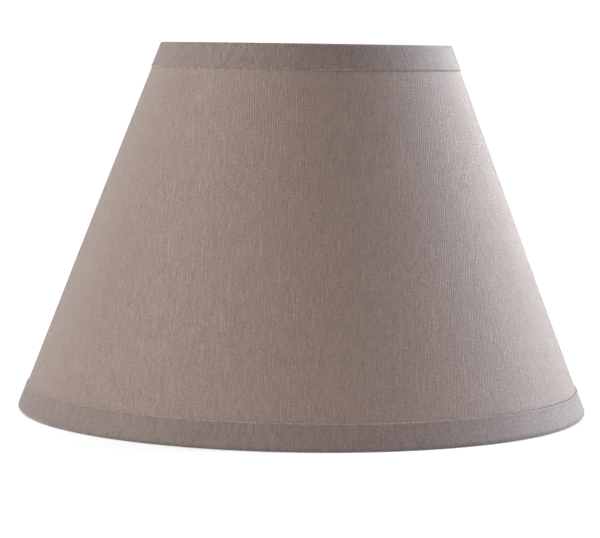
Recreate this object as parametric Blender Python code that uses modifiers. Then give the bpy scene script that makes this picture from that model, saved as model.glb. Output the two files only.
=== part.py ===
"""A tapered lamp shade: cloth on a stiff panel, rolled and lapped at the back, bound to two wire rings by tapes.

A three-armed lamp fitter hangs from the upper ring, and a plastic reducer lies loose in it.
Metres, +Z up. The shade stands on its lower rim: the origin is at the centre of that rim's underside.
The seam is at the back, at +Y. Round pieces are faceted on the same angles, so that nested walls stay parallel.
"""

import math

import bmesh
import bpy
from mathutils import Vector

# Driving dimensions
BOTTOM_DIAMETER = 0.300  # over the lower tape
TOP_DIAMETER = 0.152  # over the upper tape
HEIGHT = 0.192
TRIM_WIDTH = 0.0136  # of each tape, down the outside of the wall
TRIM_INNER_WIDTH = 0.0125  # of each tape, on the inside of the wall
TRIM_THICKNESS = 0.0009  # the tape has two layers of cloth
COVER_THICKNESS = 0.0004
PANEL_THICKNESS = 0.0004
SEAM_TAPE_THICKNESS = 0.0002
RING_WIRE = 0.003  # wire diameters
ARM_WIRE = 0.003
FITTER_HEIGHT = 0.072  # underside of the fitter's seat, where a lamp holder's shoulder meets it
FITTER_HOLE = 0.042  # for an E27 holder
FITTER_DIAMETER = 0.060
FITTER_THICKNESS = 0.0012
FITTER_SEAT_WIDTH = 0.005  # flat round the hole
FITTER_STEP = 0.0008  # the fitter's outer zone stands this much higher than its seat, over the arms' ends
REDUCER_HOLE = 0.0286  # for an E14 holder
REDUCER_DIAMETER = 0.049
REDUCER_THICKNESS = 0.0016
ARM_COUNT = 3

# Clearances that keep touching pieces apart as solids
LAMINATE_GAP = 0.0002
WIRE_GAP = 0.0003
SEAT_GAP = 0.0003
EDGE_SETBACK = 0.0022  # from a rim to the cut edge of the panel and its cloth

# The wall leans inwards going up. Depths are measured square to it, inwards from the tapes' outer face.
LEAN = math.atan2((BOTTOM_DIAMETER - TOP_DIAMETER) / 2, HEIGHT)
COVER_DEPTH = TRIM_THICKNESS + LAMINATE_GAP + COVER_THICKNESS / 2
PANEL_DEPTH = COVER_DEPTH + (COVER_THICKNESS + PANEL_THICKNESS) / 2 + LAMINATE_GAP
PANEL_FACE_DEPTH = PANEL_DEPTH + PANEL_THICKNESS / 2
INNER_LEG_DEPTH = PANEL_FACE_DEPTH + LAMINATE_GAP + TRIM_THICKNESS / 2
RING_DEPTH = PANEL_FACE_DEPTH + WIRE_GAP + RING_WIRE / 2
SEAM_TAPE_DEPTH = COVER_DEPTH - COVER_THICKNESS / 2 - LAMINATE_GAP - SEAM_TAPE_THICKNESS / 2
LAP_LIFT = COVER_THICKNESS + PANEL_THICKNESS + SEAM_TAPE_THICKNESS + 3 * LAMINATE_GAP

# Angles round the shade, in degrees. The panel starts at SEAM_START, goes all the way round and on over its own start.
SEAM_START = 88.0
LAP_ANGLE = 4.0
RAMP_ANGLE = 3.0  # the wall climbs onto its own start over this angle
FACET_ANGLE = 5.0
FIRST_ARM_ANGLE = 30.0

# Rims and wire rings
RING_RISE = TRIM_THICKNESS + WIRE_GAP + RING_WIRE / 2  # from a rim to its ring's centre line
TRIM_CORNER_RADIUS = 0.0012
INNER_LEG_START = 0.0075  # from the rim to where the tape's inner leg meets the panel

# Colours are linear
TAUPE = (0.290, 0.226, 0.189)
GREY_TAUPE = (0.262, 0.211, 0.190)
WHITE_SHEET = (0.78, 0.77, 0.73)
WHITE_COAT = (0.80, 0.80, 0.78)
WHITE_PLASTIC = (0.74, 0.74, 0.70)
CLEAR_TAPE = (0.60, 0.58, 0.50)


def wall_radius(depth, height):
    """How far the wall is from the axis at a depth under the tapes' face and a height."""
    return BOTTOM_DIAMETER / 2 - height * math.tan(LEAN) - depth / math.cos(LEAN)


def polar(radius, degrees, height):
    turn = math.radians(degrees)
    return Vector((radius * math.cos(turn), radius * math.sin(turn), height))


def make_material(name, colour, roughness, metallic=0.0):
    material = bpy.data.materials.new(name)
    material.use_nodes = True
    shader = material.node_tree.nodes["Principled BSDF"]
    shader.inputs["Base Color"].default_value = (*colour, 1.0)
    shader.inputs["Roughness"].default_value = roughness
    shader.inputs["Metallic"].default_value = metallic
    return material


def add_object(name, data, material, collection):
    part = bpy.data.objects.new(name, data)
    collection.objects.link(part)
    data.materials.append(material)
    return part


def add_solidify(part, thickness):
    solidify = part.modifiers.new("Thickness", "SOLIDIFY")
    solidify.thickness = thickness
    solidify.offset = 0.0
    solidify.use_even_offset = True


def wall_angles():
    """Degrees after SEAM_START, once round, with stations where the lap starts, ends and ramps."""
    first = LAP_ANGLE + RAMP_ANGLE
    last = 360.0 - RAMP_ANGLE
    steps = round((last - first) / FACET_ANGLE)
    even = [first + (last - first) * i / steps for i in range(steps + 1)]
    return [0.0, LAP_ANGLE / 2, LAP_ANGLE] + even


def rolled_strip(name, angles, section_at):
    """A flat strip rolled round the axis. Its crosswise rows take the (radius, height) points of section_at."""
    sections = [section_at(angle) for angle in angles]
    along, across = len(angles) - 1, len(sections[0]) - 1
    shape = bmesh.new()
    bmesh.ops.create_grid(shape, x_segments=along, y_segments=across, size=0.5)
    for vert in shape.verts:
        station = round((vert.co.x + 0.5) * along)
        radius, height = sections[station][round((vert.co.y + 0.5) * across)]
        vert.co = polar(radius, SEAM_START + angles[station], height)
    bmesh.ops.remove_doubles(shape, verts=shape.verts, dist=0.00001)
    mesh = bpy.data.meshes.new(name)
    shape.to_mesh(mesh)
    shape.free()
    mesh.shade_smooth()
    mesh.set_sharp_from_angle(angle=math.radians(30))
    return mesh


def rolled_sheet(name, depth, thickness, material, collection):
    """A sheet rolled once round, whose last few degrees lie over its own start."""
    low, high = EDGE_SETBACK, HEIGHT - EDGE_SETBACK
    angles = wall_angles() + [360.0, 360.0 + LAP_ANGLE / 2, 360.0 + LAP_ANGLE]

    def section_at(angle):
        lift = LAP_LIFT / math.cos(LEAN) if angle >= 360.0 else 0.0
        return [(wall_radius(depth, z) + lift, z) for z in (low, high)]

    part = add_object(name, rolled_strip(name, angles, section_at), material, collection)
    add_solidify(part, thickness)
    return part


def seam_tape(material, collection):
    """The double-sided tape inside the lap."""
    margin = 0.5  # degrees of lap left bare on each side
    low, high = TRIM_WIDTH / 2, HEIGHT - TRIM_WIDTH / 2

    def section_at(angle):
        return [(wall_radius(SEAM_TAPE_DEPTH, z), z) for z in (low, high)]

    mesh = rolled_strip("seam_tape", [margin, LAP_ANGLE / 2, LAP_ANGLE - margin], section_at)
    part = add_object("seam_tape", mesh, material, collection)
    add_solidify(part, SEAM_TAPE_THICKNESS)


def rounded_corner(before, corner, after, radius, steps):
    """Points of the arc that rounds a corner between two straight runs."""
    run_in = (corner - before).normalized()
    run_out = (after - corner).normalized()
    turn = run_in.angle(run_out)
    setback = radius * math.tan(turn / 2)
    start = corner - run_in * setback
    side = (run_out - run_in * run_in.dot(run_out)).normalized()
    centre = start + side * radius
    return [
        centre + run_in * radius * math.sin(turn * i / steps) - side * radius * math.cos(turn * i / steps)
        for i in range(steps + 1)
    ]


def trim_path(rim_height, upwards):
    """A tape's section as (radius, height), and how far each point follows the lap's step outwards.

    Rises are measured from the rim into the wall: upwards is 1 at the lower rim and -1 at the upper rim.
    """
    half = TRIM_THICKNESS / 2

    def on_wall(depth, rise):
        return Vector((wall_radius(depth, rim_height + upwards * rise), rise))

    leg_end = on_wall(half, TRIM_WIDTH * math.cos(LEAN))
    corner = on_wall(half, half)
    wire = Vector((wall_radius(RING_DEPTH, rim_height + upwards * RING_RISE), RING_RISE))
    under_wire = Vector((wire.x, half))
    inner_start = on_wall(INNER_LEG_DEPTH, INNER_LEG_START)
    inner_end = on_wall(INNER_LEG_DEPTH, TRIM_INNER_WIDTH * math.cos(LEAN))

    outer = [leg_end] + rounded_corner(leg_end, corner, under_wire, TRIM_CORNER_RADIUS, 3)
    wrap_radius = RING_WIRE / 2 + WIRE_GAP + half
    reach = inner_start - wire
    leaves_at = math.atan2(reach.y, reach.x) + math.acos(wrap_radius / reach.length) - 2 * math.pi
    wrap_steps = 5
    wrap = []
    for i in range(wrap_steps + 1):
        turn = -math.pi / 2 + (leaves_at + math.pi / 2) * i / wrap_steps
        wrap.append(wire + wrap_radius * Vector((math.cos(turn), math.sin(turn))))
    points = outer + wrap + [inner_start, inner_end]
    follows = [1.0] * len(outer) + [0.0] * (len(points) - len(outer))
    return [(p.x, rim_height + upwards * p.y) for p in points], follows


def trim(name, rim_height, upwards, material, collection):
    """A tape folded over a rim: down the outside, round the ring and up the inside."""
    path, follows = trim_path(rim_height, upwards)

    def section_at(angle):
        lift = LAP_LIFT / math.cos(LEAN) if angle <= LAP_ANGLE or angle == 360.0 else 0.0
        return [(r + lift * share, z) for (r, z), share in zip(path, follows)]

    part = add_object(name, rolled_strip(name, wall_angles() + [360.0], section_at), material, collection)
    add_solidify(part, TRIM_THICKNESS)
    return part


def ring_circle(rim_height, upwards):
    """Radius and height of a wire ring's centre line."""
    height = rim_height + upwards * RING_RISE
    return wall_radius(RING_DEPTH, height), height


def wire_ring(name, rim_height, upwards, material, collection):
    radius, height = ring_circle(rim_height, upwards)
    bpy.ops.mesh.primitive_torus_add(
        major_radius=radius,
        minor_radius=RING_WIRE / 2,
        major_segments=round(360 / FACET_ANGLE),
        minor_segments=8,
        location=(0, 0, height),
    )
    ring = bpy.context.object
    ring.name = name
    ring.data.shade_smooth()
    ring.data.materials.append(material)
    for holder in list(ring.users_collection):
        holder.objects.unlink(ring)
    collection.objects.link(ring)


def arm_route():
    """The arm's centre line as (radius, height): in from the upper ring, down, and in under the fitter's edge."""
    ring_radius, ring_height = ring_circle(HEIGHT, -1)
    start = Vector((ring_radius - RING_WIRE / 2 - WIRE_GAP, ring_height))
    shoulder = start - Vector((0.009, 0))
    end_height = FITTER_HEIGHT + FITTER_STEP - WIRE_GAP - ARM_WIRE / 2
    end = Vector((FITTER_DIAMETER / 2 - 0.0034, end_height))
    foot = end + Vector((0.011, 0))
    bend_radius = 0.006
    upper = rounded_corner(start, shoulder, foot, bend_radius, 6)
    lower = rounded_corner(shoulder, foot, end, bend_radius, 6)
    return [start] + upper + lower + [end]


def fitter_arm(name, angle, material, collection):
    curve = bpy.data.curves.new(name, "CURVE")
    curve.dimensions = "3D"
    curve.bevel_depth = ARM_WIRE / 2
    curve.bevel_resolution = 3
    curve.use_fill_caps = True
    route = arm_route()
    spline = curve.splines.new("POLY")
    spline.points.add(len(route) - 1)
    for point, (radius, height) in zip(spline.points, route):
        point.co = (radius, 0, height, 1)
    arm = add_object(name, curve, material, collection)
    arm.rotation_euler.z = math.radians(angle)


def turned_ring(name, profile, steps, height, material, collection):
    """A ring turned from a closed profile of (radius, height) points, given down its outer side first."""
    shape = bmesh.new()
    points = [shape.verts.new((radius, 0, z)) for radius, z in profile]
    for point, next_point in zip(points, points[1:] + points[:1]):
        shape.edges.new((point, next_point))
    mesh = bpy.data.meshes.new(name)
    shape.to_mesh(mesh)
    shape.free()
    ring = add_object(name, mesh, material, collection)
    ring.location.z = height
    screw = ring.modifiers.new("Turn", "SCREW")
    screw.angle = math.radians(360)
    screw.steps = steps
    screw.render_steps = steps
    screw.use_merge_vertices = True
    screw.merge_threshold = 0.00001


def fitter_ring(material, collection):
    """A pressed plate: a flat seat round the hole, and a raised outer zone over the arms' ends."""
    inner = FITTER_HOLE / 2
    seat = inner + FITTER_SEAT_WIDTH
    outer_zone = seat + FITTER_STEP
    outer = FITTER_DIAMETER / 2
    profile = [
        (outer, FITTER_STEP + FITTER_THICKNESS),
        (outer, FITTER_STEP),
        (outer_zone, FITTER_STEP),
        (seat, 0),
        (inner, 0),
        (inner, FITTER_THICKNESS),
        (seat, FITTER_THICKNESS),
        (outer_zone, FITTER_STEP + FITTER_THICKNESS),
    ]
    turned_ring("fitter_ring", profile, 48, FITTER_HEIGHT, material, collection)


def reducer_ring(material, collection):
    """A flat washer with a locating ridge that drops into the fitter's hole."""
    ridge_outer = FITTER_HOLE / 2 - 0.0004
    ridge_inner = ridge_outer - 0.0014
    ridge_depth = 0.0024
    profile = [
        (REDUCER_DIAMETER / 2, REDUCER_THICKNESS),
        (REDUCER_DIAMETER / 2, 0),
        (ridge_outer, 0),
        (ridge_outer, -ridge_depth),
        (ridge_inner, -ridge_depth),
        (ridge_inner, 0),
        (REDUCER_HOLE / 2, 0),
        (REDUCER_HOLE / 2, REDUCER_THICKNESS),
    ]
    height = FITTER_HEIGHT + FITTER_THICKNESS + SEAT_GAP
    turned_ring("reducer_ring", profile, 48, height, material, collection)


def arm_slot_cutter(name, angle, cutters):
    """A slab through the tape's inner leg and its turn round the wire, where one arm comes through to the ring."""
    ring_radius, ring_height = ring_circle(HEIGHT, -1)
    clear = 0.00025  # above the arm and on each side of it
    top = ring_height + ARM_WIRE / 2 + clear
    bottom = HEIGHT - TRIM_INNER_WIDTH - 0.002
    on_panel = HEIGHT - INNER_LEG_START * 0.8
    face = PANEL_FACE_DEPTH + LAMINATE_GAP / 2
    outline = bpy.data.curves.new(name, "CURVE")
    outline.dimensions = "2D"
    outline.fill_mode = "BOTH"
    outline.extrude = ARM_WIRE / 2 + clear
    spline = outline.splines.new("POLY")
    corners = [
        (ring_radius - 0.010, top),
        (ring_radius - 0.010, bottom),
        (wall_radius(face, bottom), bottom),
        (wall_radius(face, on_panel), on_panel),
        (ring_radius, top),
    ]
    spline.points.add(len(corners) - 1)
    for point, (radius, height) in zip(spline.points, corners):
        point.co = (radius, height, 0, 1)
    spline.use_cyclic_u = True
    flat = bpy.data.objects.new(name + "_outline", outline)
    flat.rotation_euler = (math.radians(90), 0, math.radians(angle))
    cutters.objects.link(flat)
    graph = bpy.context.evaluated_depsgraph_get()
    mesh = bpy.data.meshes.new_from_object(flat.evaluated_get(graph))
    shape = bmesh.new()
    shape.from_mesh(mesh)
    bmesh.ops.remove_doubles(shape, verts=shape.verts, dist=0.00001)
    shape.to_mesh(mesh)
    shape.free()
    cutter = bpy.data.objects.new(name, mesh)
    cutter.matrix_world = flat.matrix_world
    cutter.hide_render = True
    cutter.display_type = "WIRE"
    cutters.objects.link(cutter)
    bpy.data.objects.remove(flat)
    return cutter


def slot_upper_tape(tape, cutters):
    for i in range(ARM_COUNT):
        slot = tape.modifiers.new(f"Arm slot {i + 1}", "BOOLEAN")
        slot.operation = "DIFFERENCE"
        slot.object = arm_slot_cutter(f"arm_slot_{i + 1}", FIRST_ARM_ANGLE + 360 * i / ARM_COUNT, cutters)


def build():
    for old in list(bpy.data.objects):
        bpy.data.objects.remove(old, do_unlink=True)
    shade = bpy.data.collections.new("Lamp shade")
    cutters = bpy.data.collections.new("Cutters")
    bpy.context.scene.collection.children.link(shade)
    bpy.context.scene.collection.children.link(cutters)

    taupe = make_material("Taupe cloth", TAUPE, 0.9)
    tape_cloth = make_material("Tape cloth", GREY_TAUPE, 0.9)
    sheet = make_material("White stiff sheet", WHITE_SHEET, 0.45)
    coat = make_material("White coated steel", WHITE_COAT, 0.35)
    plastic = make_material("White plastic", WHITE_PLASTIC, 0.4)
    clear = make_material("Adhesive tape", CLEAR_TAPE, 0.5)

    rolled_sheet("fabric_cover", COVER_DEPTH, COVER_THICKNESS, taupe, shade)
    rolled_sheet("backing_panel", PANEL_DEPTH, PANEL_THICKNESS, sheet, shade)
    seam_tape(clear, shade)
    trim("bottom_trim", 0.0, 1, tape_cloth, shade)
    top_tape = trim("top_trim", HEIGHT, -1, tape_cloth, shade)
    slot_upper_tape(top_tape, cutters)
    wire_ring("bottom_ring", 0.0, 1, coat, shade)
    wire_ring("top_ring", HEIGHT, -1, coat, shade)

    fitter_ring(coat, shade)
    for i in range(ARM_COUNT):
        fitter_arm(f"fitter_arm_{i + 1}", FIRST_ARM_ANGLE + 360 * i / ARM_COUNT, coat, shade)
    reducer_ring(plastic, shade)


build()
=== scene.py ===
"""Looks of a tapered lamp shade.

Slub cloth is bonded to a stiff white sheet and rolled into a cone. Tapes folded over wire rings
bind its rims, and a wire spider carries the fitter with its loose reducer.
"""

import math

import bmesh
import bpy
from mathutils import Matrix, Vector, noise


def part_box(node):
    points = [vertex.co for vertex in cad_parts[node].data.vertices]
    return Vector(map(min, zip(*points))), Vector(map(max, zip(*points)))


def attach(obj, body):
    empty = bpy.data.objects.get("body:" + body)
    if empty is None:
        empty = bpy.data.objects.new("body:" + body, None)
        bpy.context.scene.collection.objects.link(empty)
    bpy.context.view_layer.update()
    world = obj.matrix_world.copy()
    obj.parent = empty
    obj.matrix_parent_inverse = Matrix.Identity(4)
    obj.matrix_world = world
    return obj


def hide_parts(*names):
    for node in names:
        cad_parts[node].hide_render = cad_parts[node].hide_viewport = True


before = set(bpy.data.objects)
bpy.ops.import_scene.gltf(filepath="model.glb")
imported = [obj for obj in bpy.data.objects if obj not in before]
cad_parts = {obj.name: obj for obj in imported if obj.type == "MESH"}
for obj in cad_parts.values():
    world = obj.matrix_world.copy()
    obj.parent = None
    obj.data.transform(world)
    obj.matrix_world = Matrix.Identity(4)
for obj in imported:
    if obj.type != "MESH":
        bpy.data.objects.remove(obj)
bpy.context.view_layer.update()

MM = 0.001
WHOLE_TURN = 2 * math.pi

# ---- Sizes read from the frame ---------------------------


def front_points(node):
    """A CAD node's points on the front half, clear of the lap at the back, as (radius, height)."""
    points = [v.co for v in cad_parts[node].data.vertices if v.co.y < -0.001]
    return [(math.hypot(p.x, p.y), p.z) for p in points]


CAD_COVER_DEPTH = 1.1 * MM  # the CAD cloth's outer face, under the CAD tapes' outer face

# The fine layers, as depths under the tapes' outer face
COVER_DEPTH = 0.42 * MM
PANEL_DEPTH = 0.80 * MM
PANEL_BACK = 1.25 * MM
FILM_THICKNESS = 0.15 * MM
LAP_LIFT = PANEL_BACK - COVER_DEPTH + FILM_THICKNESS  # how far the lapped end lies off its start
EDGE_SETBACK = 2.2 * MM  # from a rim to the edge of the cloth and the sheet

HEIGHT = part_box("top_trim")[1][2]
cover_low_radius, cover_low_height = max(front_points("fabric_cover"))
cover_high_height, cover_high_radius = max((z, r) for r, z in front_points("fabric_cover"))
LEAN = math.atan2(cover_low_radius - cover_high_radius, cover_high_height - cover_low_height)
CAD_WALL_RADIUS = cover_low_radius + cover_low_height * math.tan(LEAN)
RIM_RADIUS = CAD_WALL_RADIUS + CAD_COVER_DEPTH / math.cos(LEAN)

RING_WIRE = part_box("bottom_ring")[1][2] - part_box("bottom_ring")[0][2]
RING_RISE = (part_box("bottom_ring")[1][2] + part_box("bottom_ring")[0][2]) / 2
RING_RADII = {
    node: max(front_points(node))[0] - RING_WIRE / 2 for node in ("bottom_ring", "top_ring")}

FITTER_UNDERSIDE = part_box("fitter_ring")[0][2]
FITTER_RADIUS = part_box("fitter_ring")[1][0]
REDUCER_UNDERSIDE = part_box("reducer_ring")[0][2]
REDUCER_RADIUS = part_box("reducer_ring")[1][0]

# The seam is at the back. The sheet starts at SEAM_START degrees, goes once round and laps over
# its own start.
SEAM_START = 88.0
LAP_ANGLE = 4.0
RAMP_ANGLE = 3.0
ARM_ANGLES = (30.0, 150.0, 270.0)


def wall_radius(depth, height):
    """How far the wall is from the axis, at a depth under the tapes' outer face and a height."""
    return RIM_RADIUS - height * math.tan(LEAN) - depth / math.cos(LEAN)


def polar(radius, degrees, height):
    turn = math.radians(degrees)
    return Vector((radius * math.cos(turn), radius * math.sin(turn), height))


def smooth(value):
    """0 below 0, 1 above 1, and a smooth climb between them."""
    value = min(1.0, max(0.0, value))
    return value * value * (3 - 2 * value)


def degrees_to_arm(degrees):
    """How many degrees away the nearest spider arm is."""
    return min(abs((degrees - arm + 180) % 360 - 180) for arm in ARM_ANGLES)


# ---- Nodes as Python expressions -------------------------


class Wire:
    """An output of a node. Arithmetic on it adds Math nodes. wire["Name"] is its node's other output."""

    def __init__(self, socket):
        self.socket = socket
        self.tree = socket.id_data

    def __getitem__(self, name):
        return Wire(self.socket.node.outputs[name])

    def math(self, operation, *others):
        sockets = dict(enumerate((self, *others)))
        return add_node(self.tree, "ShaderNodeMath", {"operation": operation}, sockets)

    def reflected(self, operation, first):
        return add_node(self.tree, "ShaderNodeMath", {"operation": operation}, {0: first, 1: self})

    def __add__(self, other):
        return self.math("ADD", other)

    def __sub__(self, other):
        return self.math("SUBTRACT", other)

    def __mul__(self, other):
        return self.math("MULTIPLY", other)

    def __truediv__(self, other):
        return self.math("DIVIDE", other)

    def __radd__(self, other):
        return self.reflected("ADD", other)

    def __rsub__(self, other):
        return self.reflected("SUBTRACT", other)

    def __rmul__(self, other):
        return self.reflected("MULTIPLY", other)

    def __rtruediv__(self, other):
        return self.reflected("DIVIDE", other)


def add_node(tree, kind, settings=None, sockets=None):
    """A node with its settings, then its sockets' values or wires. Sockets are named or numbered."""
    node = tree.nodes.new(kind)
    for name, value in (settings or {}).items():
        setattr(node, name, value)
    for name, value in (sockets or {}).items():
        socket = node.inputs[name]
        if isinstance(value, Wire):
            tree.links.new(value.socket, socket)
        else:
            socket.default_value = value
    return Wire(node.outputs[0]) if node.outputs else None


def ramp01(wire, low, high):
    """0 below low, 1 above high, and a smooth climb between them."""
    sockets = {"Value": wire, "From Min": low, "From Max": high}
    return add_node(
        wire.tree, "ShaderNodeMapRange", {"interpolation_type": "SMOOTHSTEP"}, sockets)


def combine(tree, x, y, z=0.0):
    return add_node(tree, "ShaderNodeCombineXYZ", None, {"X": x, "Y": y, "Z": z})


def noise_field(vector, scale, detail=2.0, roughness=0.5):
    """A smooth random field with values round 0.5."""
    sockets = {"Vector": vector, "Scale": scale, "Detail": detail, "Roughness": roughness}
    return add_node(vector.tree, "ShaderNodeTexNoise", {"noise_dimensions": "3D"}, sockets)


def mix_colour(factor, first, second):
    """Two plain colours mixed by a wire."""
    sockets = {0: factor, 6: (*first, 1.0), 7: (*second, 1.0)}
    mixer = add_node(factor.tree, "ShaderNodeMix", {"data_type": "RGBA"}, sockets)
    return Wire(mixer.socket.node.outputs[2])


def bump(height, strength, distance):
    sockets = {"Height": height, "Strength": strength, "Distance": distance}
    return add_node(height.tree, "ShaderNodeBump", None, sockets)


def object_place(tree):
    return add_node(tree, "ShaderNodeTexCoord")["Object"]


def new_material(name):
    """An empty node material. Returns the material and its node tree."""
    material = bpy.data.materials.new(name)
    material.use_nodes = True
    material.node_tree.nodes.clear()
    return material, material.node_tree


def finish_material(tree, **sockets):
    """Ends a material in a Principled shader. A socket name's spaces are written as underscores."""
    named = {name.replace("_", " "): value for name, value in sockets.items()}
    shader = add_node(tree, "ShaderNodeBsdfPrincipled", None, named)
    add_node(tree, "ShaderNodeOutputMaterial", None, {"Surface": shader})


# ---- Finishes --------------------------------------------

YARN_PITCH = 1.1 * MM
WEFT_PITCH = 0.62 * MM
YARN_WANDER = 2.0 * YARN_PITCH
CLOTH_RELIEF = 0.30 * MM
CLOTH_SHEEN = 0.4
CLOTH_GLINT = 0.2
# Cover lighter than tape, the same cloth: painted light for light showing through the cover
CLOTH_WARM = (0.256, 0.1800, 0.1440)
CLOTH_COOL = (0.242, 0.1732, 0.1485)
TAPE_WARM = (0.210, 0.1505, 0.1285)
TAPE_COOL = (0.194, 0.1425, 0.1325)
TAPE_CONTRAST = 1.1
# How much painted shade darkens a tape where it goes round a rim
FOLD_PAINTED_SHADE = 0.22


def streaks(lane, along):
    """Random values that differ from lane to lane and drift along each lane."""
    return noise_field(combine(lane.tree, lane, along), 1.0, 1.0)


def fold_with_painted_shade(shade, along, fold):
    """A cloth's tone with painted shade, darker round a rim, between two values of V."""
    past_fold = (along - (fold[0] + fold[1]) / 2).math("ABSOLUTE") - (fold[1] - fold[0]) / 2
    clear = ramp01(past_fold, -0.2 * MM, 0.9 * MM)
    return shade * (1.0 - FOLD_PAINTED_SHADE + clear * FOLD_PAINTED_SHADE)


def woven_yarns(tree, across, along):
    """Yarns of uneven width, crossed by a finer weft: how round each is, and each yarn's number."""
    drift = noise_field(combine(tree, across * 260, along * 60), 1.0, 2.0)
    yarn_count = (across + (drift - 0.5) * YARN_WANDER) / YARN_PITCH
    yarn = yarn_count.math("FLOOR")
    ply = (yarn_count * 2.0).math("FLOOR")
    yarn_round = (yarn_count.math("FRACT") * math.pi).math("SINE")
    weft = ((along / WEFT_PITCH + yarn * 0.5).math("FRACT") * math.pi).math("SINE")
    return yarn_round, weft, yarn, ply


def slub_cloth(name, warm, cool, contrast=1.0, fold=None):
    """Slub cloth. Its yarns run along V of the UV map, which is in metres.

    Fold is the part of V, as (start, end), that lies round a rim. Painted shade darkens it there.
    """
    material, tree = new_material(name)
    place = add_node(tree, "ShaderNodeUVMap", {"uv_map": "UVMap"})
    split = add_node(tree, "ShaderNodeSeparateXYZ", None, {0: place})
    across, along = split["X"], split["Y"]
    yarn_round, weft, yarn, ply = woven_yarns(tree, across, along)

    # Uneven places in a ply, from short to long, and whole yarns that are thick for a while
    grain = streaks(ply * 7.31, along * 1000)
    slub = streaks(ply * 5.73 + 90, along * 420)
    long_slub = streaks(ply * 3.17 + 40, along * 130)
    thick = ramp01(streaks(yarn * 9.13 + 17, along * 62), 0.58, 0.72)
    cloud = noise_field(combine(tree, across, along), 26.0, 3.0)

    tone = (grain - 0.5) * 0.80 + (slub - 0.5) * 0.25 + (long_slub - 0.5) * 0.46
    tone = tone + (cloud - 0.5) * 0.07 + thick * 0.09
    shade = 1.0 + tone * contrast
    # Painted shade, darker round the rim
    if fold:
        shade = fold_with_painted_shade(shade, along, fold)
    tinge = noise_field(combine(tree, across * 800, along * 230, 3.0), 1.0, 1.0)
    body = mix_colour(ramp01(tinge, 0.30, 0.70), warm, cool)
    colour = add_node(tree, "ShaderNodeVectorMath", {"operation": "SCALE"}, {0: body, "Scale": shade})
    weave = yarn_round * 0.42 + weft * 0.12
    height = weave + grain * 1.8 + slub * 0.8 + long_slub * 0.8 + thick * 0.9
    glint = ramp01(grain * 0.4 + long_slub * 0.3 + yarn_round * 0.2, 0.40, 0.56)
    finish_material(
        tree,
        Base_Color=colour,
        Roughness=0.62 + (slub - 0.5) * 0.25,
        Sheen_Weight=CLOTH_SHEEN,
        Sheen_Roughness=0.4,
        Sheen_Tint=(0.97, 0.98, 1.0, 1.0),
        Specular_IOR_Level=0.35,
        Coat_Weight=glint * CLOTH_GLINT,
        Coat_Roughness=0.42,
        Normal=bump(height, 0.95, CLOTH_RELIEF),
    )
    return material


def twisted_yarn():
    """Pale warm yarn, darker here and there, with its fibres twisted round it."""
    material, tree = new_material("Pale edge yarn")
    place = object_place(tree)
    tint = noise_field(place, 700.0, 2.0)
    sockets = {"Vector": place, "Scale": 1400.0, "Distortion": 2.0}
    twist = add_node(tree, "ShaderNodeTexWave", {"bands_direction": "DIAGONAL"}, sockets)
    fibres = Wire(twist.socket.node.outputs[1])
    finish_material(
        tree,
        Base_Color=mix_colour(ramp01(tint, 0.38, 0.62), (0.50, 0.405, 0.345), (0.38, 0.30, 0.255)),
        Roughness=0.6 + fibres * 0.2,
        Sheen_Weight=CLOTH_SHEEN,
        Normal=bump(fibres, 0.4, 0.05 * MM),
    )
    return material


def stiff_sheet():
    """Satin white sheet, faintly clouded, with light scuffs."""
    material, tree = new_material("Stiff white sheet")
    place = object_place(tree)
    cloud = noise_field(place, 18.0, 3.0)
    fine = noise_field(place, 900.0, 2.0)
    stretched = add_node(
        tree, "ShaderNodeMapping", None, {"Vector": place, "Scale": (60, 60, 400)})
    scuff = noise_field(stretched, 1.0, 3.0)
    finish_material(
        tree,
        Base_Color=mix_colour(ramp01(cloud, 0.35, 0.7), (0.80, 0.785, 0.745), (0.74, 0.72, 0.675)),
        Roughness=0.42 + (scuff - 0.5) * 0.25,
        Normal=bump(fine * 0.6 + scuff * 0.4, 0.25, 0.05 * MM),
    )
    return material


def coated_steel():
    """White powder coat over steel: orange peel, with a little grime."""
    material, tree = new_material("White coated steel")
    place = object_place(tree)
    peel = noise_field(place, 1400.0, 2.0)
    grime = noise_field(place, 55.0, 4.0, 0.6)
    finish_material(
        tree,
        Base_Color=mix_colour(ramp01(grime, 0.45, 0.75), (0.80, 0.80, 0.785), (0.70, 0.69, 0.66)),
        Roughness=0.30 + ramp01(grime, 0.4, 0.8) * 0.2,
        Coat_Weight=0.15,
        Normal=bump(peel, 0.35, 0.06 * MM),
    )
    return material


def moulded_plastic():
    """White moulded plastic with a fine spark-eroded texture."""
    material, tree = new_material("White moulded plastic")
    place = object_place(tree)
    grain = noise_field(place, 2600.0, 3.0)
    flow = noise_field(place, 70.0, 2.0)
    finish_material(
        tree,
        Base_Color=mix_colour(ramp01(flow, 0.3, 0.7), (0.76, 0.755, 0.72), (0.71, 0.70, 0.66)),
        Roughness=0.38 + (flow - 0.5) * 0.15,
        Normal=bump(grain, 0.3, 0.04 * MM),
    )
    return material


def film_tape():
    """Double-sided tape: cloudy film with small trapped bubbles."""
    material, tree = new_material("Double-sided tape")
    sockets = {"Vector": object_place(tree), "Scale": 700.0}
    bubbles = add_node(tree, "ShaderNodeTexVoronoi", None, sockets)
    mark = ramp01(bubbles, 0.12, 0.25)
    finish_material(
        tree,
        Base_Color=mix_colour(mark, (0.72, 0.70, 0.62), (0.60, 0.57, 0.48)),
        Roughness=0.35 + mark * 0.2,
        Normal=bump(mark, 0.3, 0.05 * MM),
    )
    return material


# ---- Making pieces ---------------------------------------


def add_piece(name, mesh, material, body, slot, *nodes):
    """Puts a finished mesh in the scene on a body, in place of some CAD nodes."""
    piece = bpy.data.objects.new(name, mesh)
    bpy.context.scene.collection.objects.link(piece)
    if not mesh.materials:
        mesh.materials.append(material)
    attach(piece, body)
    if nodes:
        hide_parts(*nodes)
    return piece


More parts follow.
